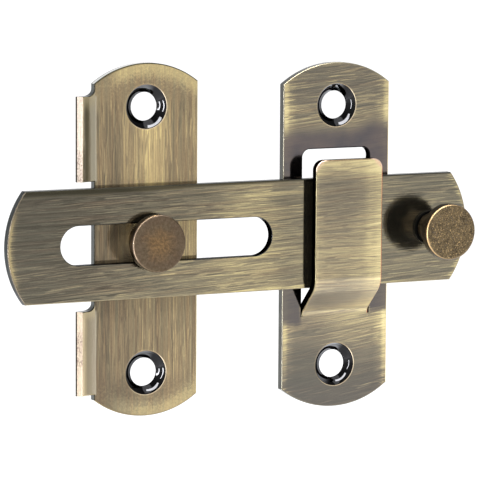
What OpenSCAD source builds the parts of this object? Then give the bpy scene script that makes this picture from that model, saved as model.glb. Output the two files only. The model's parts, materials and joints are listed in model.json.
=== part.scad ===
// Flip-over bar latch for a door, gate or cupboard, 100 mm class.
// A flat slotted bar turns and slides on a headed stud that is riveted to a
// base plate, and drops into an open-topped hook formed out of a keeper plate.
//
// Frame: +X runs along the closed bar towards the keeper, +Z is up, and -Y
// points out of the door. The origin is on the stud's axis, in the plane of
// the plates' back faces. "Height" below means distance out of that plane.

/* [Sheet metal] */
// Thickness of the base plate and of the keeper plate with its hook
sheet_t = 1.6; // [1.4:0.1:1.8]
// Thickness of the sliding bar
bar_t = 1.8; // [1.5:0.1:2.0]

/* [Base plate] */
// Width of the base plate
base_w = 22; // [21:0.5:23]
// Length of the base plate over its rounded ends
base_h = 69; // [68:0.5:72]
// Radius of the base plate's end arcs
base_end_r = 18; // [17:0.5:30]

/* [Curled guard tabs] */
// Height of the upper tab's lower end above the stud's axis
tab_up = 11.9; // [11.5:0.1:12.5]
// Depth of the lower tab's upper end below the stud's axis
tab_down = 13.2; // [12.5:0.1:13.4]
// Length of each tab
tab_len = 16.5; // [14:0.1:16.6]
// Radius of the inside of the curl
tab_ri = 5; // [3.5:0.1:5]
// Angle through which each tab is curled
tab_a = 35; // [20:0.5:35]
// Radius of the fillet at the upper corner of each tab
tab_fillet = 1.3; // [0.6:0.1:1.4]

/* [Screw holes] */
// Distance between the two screw holes of each plate
screw_pitch = 52; // [48:0.5:54]
// Diameter of the screw holes
screw_d = 5.6; // [4.5:0.1:6]
// Diameter of the countersinks at the front face
sink_d = 8.6; // [8:0.1:9.5]
// Depth of the countersinks
sink_depth = 1.2; // [0.8:0.1:1.2]

/* [Sliding bar] */
// Height of the bar's back face above the wall plane
bar_y = 2.8; // [2.8:0.1:3.0]
// Width of the bar
bar_w = 21.8; // [20:0.2:22]
// Distance from the stud's axis to the bar's left end when closed
bar_left = 30.3; // [28:0.1:32]
// Distance from the stud's axis to the bar's right end when closed
bar_right = 69.7; // [68:0.1:72]
// Radius of the bar's end arcs
bar_end_r = 18; // [15:0.5:30]
// Width of the slot
slot_w = 7.7; // [7.7:0.1:8.2]
// Distance from the stud's axis to the centre of the slot's left end
slot_left = 15.5; // [14:0.1:17]
// Distance from the stud's axis to the centre of the slot's right end
slot_right = 22; // [20:0.1:24]

/* [Pivot stud] */
// Diameter of the stud's neck, which runs in the slot
neck_d = 7.5; // [7.2:0.1:7.5]
// Diameter of the stud's head
head_d = 11.2; // [10:0.1:12]
// Height of the head's underside above the wall plane
head_y = 5.9; // [5.6:0.1:6]
// Thickness of the head
head_t = 1.9; // [1.4:0.1:2.4]
// Diameter of the stud's tail through the base plate
tail_d = 4; // [3:0.1:4.4]

/* [Pull knob] */
// Distance from the stud's axis to the knob's axis when closed
knob_x = 61; // [60:0.1:62]
// Diameter of the knob's head
knob_d = 11.2; // [10:0.1:12]
// Height of the knob above the bar
knob_h = 9.3; // [8:0.1:10]
// Diameter of the knob's foot
foot_d = 6.8; // [6:0.1:7]

/* [Keeper plate and hook] */
// Distance from the stud's axis to the keeper plate's centre line
keeper_x = 41.5; // [41:0.1:42]
// Height of the keeper plate's centre relative to the stud's axis
keeper_z = -1; // [-1.2:0.1:-0.8]
// Width of the keeper plate
keeper_w = 23.6; // [22:0.2:25]
// Length of the keeper plate over its rounded ends
keeper_h = 69; // [66:0.5:72]
// Radius of the keeper plate's end arcs
keeper_end_r = 19; // [15:0.5:30]
// Width of the hook
hook_w = 14.8; // [13:0.1:14.8]
// Height of the hook's back face above the wall plane
hook_y = 5.8; // [5.6:0.1:6.2]
// Top of the hook above the keeper plate's centre
hook_top = 15.7; // [14:0.1:16]
// Slope of the hook's foot, measured from the plate
hook_a = 46; // [44:2:46]
// Radius on the inside of the hook's lower bend, at the plate
bend_ri = 1.5; // [1:0.1:1.8]
// Radius on the inside of the hook's upper bend
bend_top_ri = 3; // [1:1:3]
// Width of the window that the hook is cut from
window_w = 15; // [15:0.1:15.6]
// Top of the window above the keeper plate's centre
window_top = 17.4; // [16.8:0.1:18]
// Radius of the upper corners of the window
corner_r = 1.6; // [0.8:0.1:1.8]
// Radius of the hook's two upper corners
hook_corner_r = 2.0; // [0.8:0.1:2.6]

/* [Hidden] */
$fn = 96;
eps = 0.02;
run = 0.05;                              // radial running clearance of the stud's tail
bar_f = bar_y + bar_t;                   // height of the bar's front face
hook_f = hook_y + sheet_t;               // height of the hook's front face
keeper_edge = bar_w / 2 + keeper_z;      // bar's lower edge below the keeper's centre
rest_gap = 0.2;                          // the bar stops this far above the hook's foot
bend_ro = bend_ri + sheet_t;
bend_top_ro = bend_top_ri + sheet_t;
// the foot's upper face crosses the height of the bar's front face here
foot_z = -(keeper_edge + rest_gap);
// crossings of the foot's faces with the plate's back plane and the hook's faces
k = 1 / tan(hook_a);
n_h = sheet_t * cos(hook_a);
n_v = sheet_t * sin(hook_a);
function up_z(h) = foot_z + (h - bar_f) * k;                   // foot's upper face at height h
function lo_z(h) = foot_z - n_v + (h - bar_f - n_h) * k;       // foot's lower face at height h
bend_len = bend_ro * tan(hook_a / 2);
window_low = up_z(0) - bend_len;          // where the lower bend starts

brass = [0.63, 0.57, 0.41];
bronze = [0.42, 0.33, 0.25];

// A flat outline in X and Z, pushed out from height lo to height hi.
module sheet(lo, hi) {
    translate([0, -lo, 0]) rotate([90, 0, 0]) linear_extrude(hi - lo) children();
}

// A strip with straight sides and arched ends.
module arched(w, len, r) {
    s = r - sqrt(r * r - w * w / 4);
    square([w, len - 2 * s], center = true);
    for (m = [0, 1]) mirror([0, m]) intersection() {
        translate([-w / 2, 0]) square([w, len / 2]);
        translate([0, len / 2 - r]) circle(r);
    }
}

// A rectangle whose upper two corners are round.
module tombstone(w, lo, hi, r) {
    translate([-w / 2, lo]) square([w, hi - r - lo]);
    translate([-w / 2 + r, lo]) square([w - 2 * r, hi - lo]);
    for (x = [-1, 1]) translate([x * (w / 2 - r), hi - r]) circle(r);
}

// A round slot lying along X between two centres.
module slot(x0, x1, w) {
    translate([x0, -w / 2]) square([x1 - x0, w]);
    translate([x0, 0]) circle(w / 2);
    translate([x1, 0]) circle(w / 2);
}

// The cutter of one countersunk screw hole, on the Y axis.
module screw_cut() {
    rotate([90, 0, 0]) {
        translate([0, 0, -1]) cylinder(h = sheet_t + 2, d = screw_d);
        translate([0, 0, sheet_t - sink_depth])
            cylinder(h = sink_depth + eps, d1 = screw_d, d2 = sink_d + 2 * eps * (sink_d - screw_d) / (2 * sink_depth));
    }
}

module screw_cuts() {
    for (s = [-1, 1]) translate([0, 0, s * screw_pitch / 2]) screw_cut();
}

// One curled tab, its lower end at lo and its upper end at hi. The curl's
// axis is vertical and stands in front of the plate's left edge.
module tab(lo, hi) {
    ri = tab_ri;
    ro = tab_ri + sheet_t;
    translate([-base_w / 2, -ro, lo])
        rotate([0, 0, 90]) rotate_extrude(angle = tab_a) translate([ri, 0]) square([sheet_t, hi - lo]);
}

// The web that blends the upper corner of a tab into the plate's edge.
module tab_web(z) {
    f = tab_fillet;
    intersection() {
        translate([-base_w / 2 - f, -10, z]) cube([f, 20, f]);
        difference() {
            tab(z - eps, z + f);
            translate([-base_w / 2 - f, 5, z + f]) rotate([90, 0, 0]) cylinder(h = 20, r = f);
        }
    }
}

module base_plate() {
    color(brass) {
        difference() {
            sheet(0, sheet_t) arched(base_w, base_h, base_end_r);
            screw_cuts();
            // stud hole, with a sink behind it that takes the spread tail
            rotate([90, 0, 0]) translate([0, 0, -1]) cylinder(h = sheet_t + 2, d = tail_d + 2 * run);
            rotate([90, 0, 0]) translate([0, 0, -eps]) cylinder(h = 0.9, d1 = tail_d + 2 * run + 1.8, d2 = tail_d + 2 * run);
        }
        for (z = [tab_up, -tab_down - tab_len]) {
            tab(z, z + tab_len);
            tab_web(z + tab_len);
        }
    }
}

// Turned stud: round head, plain neck in the slot, tail through the plate.
module pivot_stud() {
    c = 0.3;
    h0 = 0.03;
    color(bronze) rotate([90, 0, 0]) rotate_extrude() polygon([
        [0, h0], [tail_d / 2 + 0.84, h0], [tail_d / 2, 0.9], [tail_d / 2, sheet_t + run],
        [neck_d / 2, sheet_t + run], [neck_d / 2, head_y], [head_d / 2 - 0.15, head_y],
        [head_d / 2, head_y + 0.15], [head_d / 2, head_y + head_t - c],
        [head_d / 2 - 0.09, head_y + head_t - 0.09], [head_d / 2 - c, head_y + head_t], [0, head_y + head_t]]);
}

module slide_bar() {
    mid = (bar_right - bar_left) / 2;
    color(brass) difference() {
        sheet(bar_y, bar_f) difference() {
            translate([mid, 0]) rotate(90) arched(bar_w, bar_left + bar_right, bar_end_r);
            slot(-slot_left, slot_right, slot_w);
            translate([knob_x, 0]) circle(d = 4);
        }
        translate([knob_x, 0, 0]) rotate([90, 0, 0]) translate([0, 0, bar_y - eps])
            cylinder(h = 0.7, d1 = 5.4 + 2 * eps, d2 = 4);
    }
}

// Turned knob: foot, waisted neck, flat head, tail riveted through the bar.
module pull_knob() {
    r0 = foot_d / 2;
    rn = r0 - 0.45;
    rk = knob_d / 2;
    hh = knob_h - 1.9;
    tr = 1.98;
    e = 0.55;
    color(bronze) translate([knob_x, 0, 0]) rotate([90, 0, 0]) {
        rotate_extrude() {
            // tail
            polygon([[0, bar_y + 0.02], [2.66, bar_y + 0.02], [tr, bar_y + 0.7], [tr, bar_f + 0.1], [0, bar_f + 0.1]]);
            translate([0, bar_f]) {
                // foot and neck
                square([r0 - 0.15, 0.7]);
                translate([0, 0.15]) square([r0, 0.4]);
                translate([r0 - 0.15, 0.15]) circle(0.15);
                translate([r0 - 0.15, 0.55]) circle(0.15);
                square([rn, hh + 0.5]);
                // flare under the head
                difference() {
                    translate([0, hh - 2.2]) square([rn + 2.2, 2.2]);
                    translate([rn + 2.2, hh - 2.2]) circle(2.2);
                }
                // head
                translate([0, hh]) square([rk, 1.9 - e]);
                translate([0, hh]) square([rk - e, 1.9]);
                translate([rk - e, hh + 1.9 - e]) circle(e);
            }
        }
    }
}

// The hook's section, drawn with X as -height and Y as Z.
module hook_section() {
    a = hook_a;
    // lower bend, plate to foot: centre in front of the plate
    c1 = [sheet_t + bend_ri, window_low];
    // upper bend, foot to upright: centre behind the upright
    z2 = up_z(hook_y) + bend_top_ri * tan(a / 2);
    c2 = [hook_y - bend_top_ri, z2];
    mirror([1, 0]) {
        translate([0, window_low - 1]) square([sheet_t, 1 + eps]);
        // lower bend
        intersection() {
            translate(c1) difference() { circle(bend_ro); circle(bend_ri); }
            translate(c1) polygon([[0, 0], [-20, 0], [-20, 20 * tan(a)]]);
        }
        // foot
        polygon([
            c1 + bend_ro * [-cos(a), sin(a)], c1 + bend_ri * [-cos(a), sin(a)],
            c2 + bend_top_ro * [cos(a), -sin(a)], c2 + bend_top_ri * [cos(a), -sin(a)]]);
        // upper bend
        intersection() {
            translate(c2) difference() { circle(bend_top_ro); circle(bend_top_ri); }
            translate(c2) polygon([[0, 0], [20, -20 * tan(a)], [20, 0]]);
        }
        // upright
        translate([hook_y, z2 - eps]) square([sheet_t, hook_top - z2 + eps]);
    }
}

module keeper_plate() {
    color(brass) translate([keeper_x, 0, keeper_z]) {
        difference() {
            sheet(0, sheet_t) difference() {
                arched(keeper_w, keeper_h, keeper_end_r);
                tombstone(window_w, window_low, window_top, corner_r);
            }
            screw_cuts();
        }
        intersection() {
            translate([-hook_w / 2, 0, 0]) rotate([90, 0, 90]) linear_extrude(hook_w) hook_section();
            sheet(-1, 20) tombstone(hook_w, -30, hook_top, hook_corner_r);
        }
    }
}

base_plate();
pivot_stud();
slide_bar();
pull_knob();
keeper_plate();
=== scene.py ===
import json
import math
import bpy
from mathutils import Vector, Matrix, Quaternion

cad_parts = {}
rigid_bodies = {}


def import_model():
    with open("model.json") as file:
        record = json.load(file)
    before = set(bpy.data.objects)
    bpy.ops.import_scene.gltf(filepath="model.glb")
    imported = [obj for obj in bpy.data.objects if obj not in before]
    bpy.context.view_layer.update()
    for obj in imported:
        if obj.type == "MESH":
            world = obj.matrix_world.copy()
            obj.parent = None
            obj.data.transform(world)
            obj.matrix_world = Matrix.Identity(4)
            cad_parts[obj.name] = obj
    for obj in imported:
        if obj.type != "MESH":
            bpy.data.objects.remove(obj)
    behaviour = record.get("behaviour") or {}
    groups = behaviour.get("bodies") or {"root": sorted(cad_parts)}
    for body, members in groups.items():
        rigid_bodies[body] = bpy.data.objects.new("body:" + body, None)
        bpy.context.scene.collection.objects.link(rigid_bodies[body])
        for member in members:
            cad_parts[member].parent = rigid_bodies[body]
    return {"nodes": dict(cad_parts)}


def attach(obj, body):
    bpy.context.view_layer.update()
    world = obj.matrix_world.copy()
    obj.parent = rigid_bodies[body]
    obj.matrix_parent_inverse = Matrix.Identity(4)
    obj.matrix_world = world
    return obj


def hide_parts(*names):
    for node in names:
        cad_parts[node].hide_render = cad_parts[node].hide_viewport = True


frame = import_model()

scene = bpy.context.scene
nodes = frame["nodes"]
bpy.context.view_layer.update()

# Lengths in mm that the finishes are laid out by; they repeat the CAD source.
SHEET = 1.6
BASE_W, BASE_H, BASE_R = 22.0, 69.0, 18.0
PITCH, SINK = 52.0, 4.3
BAR_F, BAR_B = 4.6, 2.8
BAR_L, BAR_R, BAR_W, BAR_ER = -30.3, 69.7, 21.8, 18.0
SLOT_L, SLOT_R, SLOT_W = -15.5, 22.0, 7.7
KNOB_X = 61.0
KEEP_X, KEEP_Z, KEEP_W, KEEP_H, KEEP_R = 41.5, -1.0, 23.6, 69.0, 19.0
HOOK_W, HOOK_F, HOOK_TOP = 14.8, 7.4, 15.7
HOOK_CR = 2.0
WIN_W, WIN_TOP, WIN_LOW, CORNER = 15.0, 17.4, -16.4, 1.6


# ---------------------------------------------------------------- shader graph
def lin(r, g, b):
    """An sRGB colour, 0 to 255, as linear."""
    def one(c):
        c /= 255.0
        return c / 12.92 if c <= 0.04045 else ((c + 0.055) / 1.055) ** 2.4
    return (one(r), one(g), one(b), 1.0)


class V:
    """A number in a shader graph, with arithmetic."""
    def __init__(self, g, s):
        self.g, self.s = g, s

    def __add__(self, o): return self.g.op("ADD", self, o)
    def __radd__(self, o): return self.g.op("ADD", o, self)
    def __sub__(self, o): return self.g.op("SUBTRACT", self, o)
    def __rsub__(self, o): return self.g.op("SUBTRACT", o, self)
    def __mul__(self, o): return self.g.op("MULTIPLY", self, o)
    def __rmul__(self, o): return self.g.op("MULTIPLY", o, self)
    def __truediv__(self, o): return self.g.op("DIVIDE", self, o)
    def __neg__(self): return self.g.op("MULTIPLY", self, -1.0)


class Graph:
    """One material with a metal shader, and the coordinates that its patterns use."""
    def __init__(self, name, aniso=0.0, coat=0.0, coat_rough=0.1, spread=(0, 0, 1)):
        self.mat = bpy.data.materials.new(name)
        self.mat.use_nodes = True
        self.nt = self.mat.node_tree
        self.nt.nodes.clear()
        out = self.nt.nodes.new("ShaderNodeOutputMaterial")
        self.p = self.nt.nodes.new("ShaderNodeBsdfPrincipled")
        self.p.inputs["Metallic"].default_value = 1.0
        self.p.inputs["Anisotropic"].default_value = aniso
        self.p.inputs["Coat Weight"].default_value = coat
        self.p.inputs["Coat Roughness"].default_value = coat_rough
        self.nt.links.new(self.p.outputs[0], out.inputs[0])
        tc = self.nt.nodes.new("ShaderNodeTexCoord")
        sep = self.nt.nodes.new("ShaderNodeSeparateXYZ")
        self.nt.links.new(tc.outputs["Object"], sep.inputs[0])
        self.x, self.y, self.z = (V(self, sep.outputs[i]) * 1000.0 for i in range(3))
        nrm = self.nt.nodes.new("ShaderNodeSeparateXYZ")
        self.nt.links.new(tc.outputs["Normal"], nrm.inputs[0])
        self.nx, self.ny, self.nz = (V(self, nrm.outputs[i]) for i in range(3))
        if aniso:
            self.tangent(spread)

    def tangent(self, v):
        """The direction in which the gloss spreads, across the brush lines."""
        c = self.nt.nodes.new("ShaderNodeCombineXYZ")
        for i in range(3):
            c.inputs[i].default_value = v[i]
        t = self.nt.nodes.new("ShaderNodeVectorTransform")
        t.vector_type, t.convert_from, t.convert_to = "VECTOR", "OBJECT", "WORLD"
        self.nt.links.new(c.outputs[0], t.inputs[0])
        self.nt.links.new(t.outputs[0], self.p.inputs["Tangent"])

    def put(self, socket, a):
        if isinstance(a, V):
            self.nt.links.new(a.s, socket)
        else:
            socket.default_value = a

    def op(self, kind, *args, clamp=False):
        nd = self.nt.nodes.new("ShaderNodeMath")
        nd.operation, nd.use_clamp = kind, clamp
        for i, a in enumerate(args):
            self.put(nd.inputs[i], a)
        return V(self, nd.outputs[0])

    def mn(self, a, b): return self.op("MINIMUM", a, b)
    def mx(self, a, b): return self.op("MAXIMUM", a, b)
    def abs(self, a): return self.op("ABSOLUTE", a)
    def clamp(self, a): return self.op("ADD", a, 0.0, clamp=True)
    def length(self, a, b): return self.op("SQRT", a * a + b * b)

    def step(self, lo, hi, v):
        """0 below lo, 1 above hi, smooth between; lo may be the larger."""
        nd = self.nt.nodes.new("ShaderNodeMapRange")
        nd.interpolation_type = "SMOOTHSTEP"
        self.put(nd.inputs["Value"], v)
        if lo < hi:
            f0, f1, t0, t1 = lo, hi, 0.0, 1.0
        else:
            f0, f1, t0, t1 = hi, lo, 1.0, 0.0
        nd.inputs["From Min"].default_value, nd.inputs["From Max"].default_value = f0, f1
        nd.inputs["To Min"].default_value, nd.inputs["To Max"].default_value = t0, t1
        return V(self, nd.outputs[0])

    def mix(self, f, a, b):
        """a where f is 0, b where it is 1."""
        if not isinstance(a, V) and not isinstance(b, V):
            return f * (b - a) + a
        return f * (b - a) + a

    def noise(self, x, y, z, detail=2.0, rough=0.5, kind="FBM"):
        c = self.nt.nodes.new("ShaderNodeCombineXYZ")
        for i, a in enumerate((x, y, z)):
            self.put(c.inputs[i], a)
        nd = self.nt.nodes.new("ShaderNodeTexNoise")
        nd.noise_dimensions = "3D"
        nd.inputs["Scale"].default_value = 1.0
        nd.inputs["Detail"].default_value = detail
        nd.inputs["Roughness"].default_value = rough
        self.nt.links.new(c.outputs[0], nd.inputs["Vector"])
        return V(self, nd.outputs[0])

    def cells(self, x, y, z, scale=1.0):
        c = self.nt.nodes.new("ShaderNodeCombineXYZ")
        for i, a in enumerate((x, y, z)):
            self.put(c.inputs[i], a)
        nd = self.nt.nodes.new("ShaderNodeTexVoronoi")
        nd.inputs["Scale"].default_value = scale
        self.nt.links.new(c.outputs[0], nd.inputs["Vector"])
        return V(self, nd.outputs["Distance"])

    def ramp(self, f, stops):
        nd = self.nt.nodes.new("ShaderNodeValToRGB")
        el = nd.color_ramp.elements
        while len(el) < len(stops):
            el.new(0.5)
        for e, (at, col) in zip(el, stops):
            e.position, e.color = at, col
        self.put(nd.inputs[0], f)
        return V(self, nd.outputs[0])

    def curve(self, v, stops):
        """A smooth curve through (length in mm, value) stops."""
        lo, hi = stops[0][0], stops[-1][0]
        s = self.ramp((v - lo) * (1.0 / (hi - lo)), [((p - lo) / (hi - lo), (t, t, t, 1.0)) for p, t in stops])
        s.s.node.color_ramp.interpolation = "EASE"
        return s

    def mixc(self, f, a, b):
        nd = self.nt.nodes.new("ShaderNodeMix")
        nd.data_type = "RGBA"
        self.put(nd.inputs[0], f)
        self.put(nd.inputs[6], a)
        self.put(nd.inputs[7], b)
        return V(self, nd.outputs[2])

    def tint(self, col, r, gg, b):
        nd = self.nt.nodes.new("ShaderNodeMix")
        nd.data_type, nd.blend_type, nd.clamp_result = "RGBA", "MULTIPLY", False
        nd.inputs[0].default_value = 1.0
        self.put(nd.inputs[6], col)
        nd.inputs[7].default_value = (r, gg, b, 1.0)
        return V(self, nd.outputs[2])

    def dim_edge(self, v):
        """How much of the mirror is left where the surface is seen along itself."""
        self.p.inputs["Specular Tint"].default_value = (v, v, v, 1.0)

    def bump(self, height, strength, dist, before=None):
        """height in 0..1, dist its depth in metres."""
        nd = self.nt.nodes.new("ShaderNodeBump")
        nd.inputs["Strength"].default_value = strength
        nd.inputs["Distance"].default_value = dist
        self.put(nd.inputs["Height"], height)
        if before is not None:
            self.put(nd.inputs["Normal"], before)
        return V(self, nd.outputs[0])

    def finish(self, colour, rough, normal=None):
        self.put(self.p.inputs["Base Color"], colour)
        self.put(self.p.inputs["Roughness"], rough)
        if normal is not None:
            self.put(self.p.inputs["Normal"], normal)
        return self.mat


# ----------------------------------------------------------------- sheet metal
# The two plates are rebuilt at the CAD's sizes with rolled edges, so that their
# corners catch the light. A blank is drawn flat in (u, z) with the metal on the
# left of the way round, and then its tabs or its tongue are bent.
class Sheet:
    def __init__(self):
        self.v, self.f, self.n, self.m = [], [], [], []

    def face(self, ids, normals, mat):
        self.f.append(ids)
        self.n.extend(normals)
        self.m.append(mat)

    def build(self, name, mats):
        me = bpy.data.meshes.new(name)
        me.from_pydata(self.v, [], self.f)
        for m in mats:
            me.materials.append(m)
        me.polygons.foreach_set("material_index", self.m)
        me.polygons.foreach_set("use_smooth", [True] * len(self.f))
        me.normals_split_custom_set(self.n)
        me.validate()
        o = bpy.data.objects.new(name, me)
        scene.collection.objects.link(o)
        return o


def arc(cx, cz, r, a0, a1, n):
    return [(cx + r * math.cos(math.radians(a0 + (a1 - a0) * i / n)),
             cz + r * math.sin(math.radians(a0 + (a1 - a0) * i / n))) for i in range(n + 1)]


class Ring:
    """A closed contour and the rings that turn it into an edge.

    profile: (inset, height, tilt, finish of the band up to the next ring). tilt is
    0 where the surface looks forward, 90 where it is a wall, 180 where it looks back."""
    def __init__(self, sheet, pts, profile, place):
        n = len(pts)
        ins = []
        for i in range(n):
            (x0, z0), (x1, z1) = pts[i], pts[(i + 1) % n]
            l = math.hypot(x1 - x0, z1 - z0)
            ins.append((-(z1 - z0) / l, (x1 - x0) / l))
        self.ids, self.sheet, self.place, self.pts = [], sheet, place, []
        mit, soft = [], []
        for i in range(n):
            a, b = ins[i - 1], ins[i]
            dot = a[0] * b[0] + a[1] * b[1]
            mit.append(((a[0] + b[0]) / (1 + dot), (a[1] + b[1]) / (1 + dot)))
            soft.append(dot > math.cos(math.radians(28)))
        for band in profile:
            inset, h = band[0], band[1]
            row, flat = [], []
            for (x, z), m in zip(pts, mit):
                p = (x + m[0] * inset, z + m[1] * inset)
                sheet.v.append(place(p[0], p[1], h)[0])
                row.append(len(sheet.v) - 1)
                flat.append(p)
            self.ids.append(row)
            self.pts.append(flat)
        for k in range(len(profile) - 1):
            mat = profile[k][3]
            t = [math.radians(profile[k][2]), math.radians(profile[k + 1][2])]
            if len(profile[k]) > 4:          # a band with one tilt of its own
                t = [math.radians(profile[k][4])] * 2
            for i in range(n):
                j = (i + 1) % n
                def side(at):
                    if soft[at]:
                        a, b = ins[at - 1], ins[at]
                        c = (a[0] + b[0], a[1] + b[1])
                        l = math.hypot(*c)
                        return (-c[0] / l, -c[1] / l)
                    return (-ins[i][0], -ins[i][1])
                si, sj = side(i), side(j)
                def normal(s, tilt, ring, at):
                    p = self.pts[ring][at]
                    return place(p[0], p[1], profile[ring][1],
                                 (s[0] * math.sin(tilt), math.cos(tilt), s[1] * math.sin(tilt)))[1]
                sheet.face([self.ids[k][i], self.ids[k + 1][i], self.ids[k + 1][j], self.ids[k][j]],
                           [normal(si, t[0], k, i), normal(si, t[1], k + 1, i),
                            normal(sj, t[1], k + 1, j), normal(sj, t[0], k, j)], mat)


def cap(sheet, loops, h, mat, place, back=False):
    """Fills between loops, each (ids, flat points), with flat triangles."""
    from mathutils.geometry import tessellate_polygon
    ids = [i for l in loops for i in l[0]]
    flat = [p for l in loops for p in l[1]]
    tris = tessellate_polygon([[Vector((p[0], p[1], 0)) for p in l[1]] for l in loops])
    for a, b, c in tris:
        (x0, z0), (x1, z1), (x2, z2) = flat[a], flat[b], flat[c]
        area = (x1 - x0) * (z2 - z0) - (x2 - x0) * (z1 - z0)
        if abs(area) < 1e-9:
            continue
        if (area < 0) != back:
            b, c = c, b
        s = -1.0 if back else 1.0
        sheet.face([ids[a], ids[b], ids[c]],
                   [place(*flat[q], h, (0, s, 0))[1] for q in (a, b, c)], mat)


def ladder(sheet, left, right, h, mat, place, back=False):
    """Quads between two rows of (id, flat point), bottom to top."""
    s = -1.0 if back else 1.0
    for k in range(len(left) - 1):
        q = [left[k], right[k], right[k + 1], left[k + 1]]
        if back:
            q.reverse()
        sheet.face([c[0] for c in q], [place(*c[1], h, (0, s, 0))[1] for c in q], mat)


def flat_place(u, z, h, n=(0, 1, 0)):
    """n is given as (along u, forward, along z)."""
    return (u / 1000, -h / 1000, z / 1000), (n[0], -n[1], n[2])


def round_edge(front, rf, rb, face, corner, wall, rear=0.0, steps=4):
    """Profile of a sheet's edge: rolled corner rf in front, small rb behind."""
    prof = []
    for k in range(steps + 1):
        a = math.radians(90 * k / steps)
        prof.append((rf * (1 - math.sin(a)), front - rf * (1 - math.cos(a)), 90 * k / steps, corner))
    prof[-1] = prof[-1][:3] + (wall,)
    back = []
    for k in range(3):
        a = math.radians(45 * k)
        back.append((rb * (1 - math.cos(a)), rear + rb * (1 - math.sin(a)), 90 + 45 * k, wall))
    return prof + back


def sink_edge(front, r_sink, r_bore, depth, corner, sink):
    """Profile of a countersunk hole drawn at its bore's radius: rolled rim, dished funnel,
    rounded throat, bore."""
    big = r_sink - r_bore
    prof = [(big + 0.13, front, 0, corner), (big + 0.07, front - 0.010, 14, corner), (big, front - 0.035, 24, sink)]
    steps, r, h, throat = 9, big, front - 0.035, 0.015
    dr = (big - throat) / steps
    tilts = [33, 33.8, 34.6, 35.6, 37.4, 39.6, 41.6, 42.6, 43, 43]
    scale = (depth - 0.035 - throat * 0.75) / sum(
        math.tan(math.radians((tilts[k] + tilts[k + 1]) / 2)) * dr for k in range(steps))
    for k in range(steps):
        h -= math.tan(math.radians((tilts[k] + tilts[k + 1]) / 2)) * dr * scale
        r -= dr
        prof.append((r, h, math.degrees(math.atan(math.tan(math.radians(tilts[k + 1])) * scale)), sink))
    a0 = prof[-1][2]
    # throat: an arc from the funnel's tilt to the bore's wall
    rr = throat / (1 - math.sin(math.radians(a0)))
    for k in range(1, 6):
        a = math.radians(a0 + (90 - a0) * k / 5)
        prof.append((rr * (1 - math.sin(a)), h - rr * (math.cos(math.radians(a0)) - math.cos(a)), math.degrees(a), sink))
    prof.append((0.0, 0.06, 90, sink))
    prof.append((0.06, 0.0, 180, sink))
    return prof


def arched_pts(w, h, r, n=44, cx=0.0, cz=0.0):
    """The right half and ends of a strip with arched ends, all the way round, anticlockwise."""
    zc = h / 2 - r
    a = math.degrees(math.asin(w / 2 / r))
    top = arc(cx, cz + zc, r, 90 - a, 90 + a, n)
    low = arc(cx, cz - zc, r, 270 - a, 270 + a, n)
    return top, low


FACE, CORNER_M, WALL, SINK_M, BACK, RAW, CURL = range(7)
HOOK_CORNER, DARK, RIM = 5, 6, 7


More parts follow.
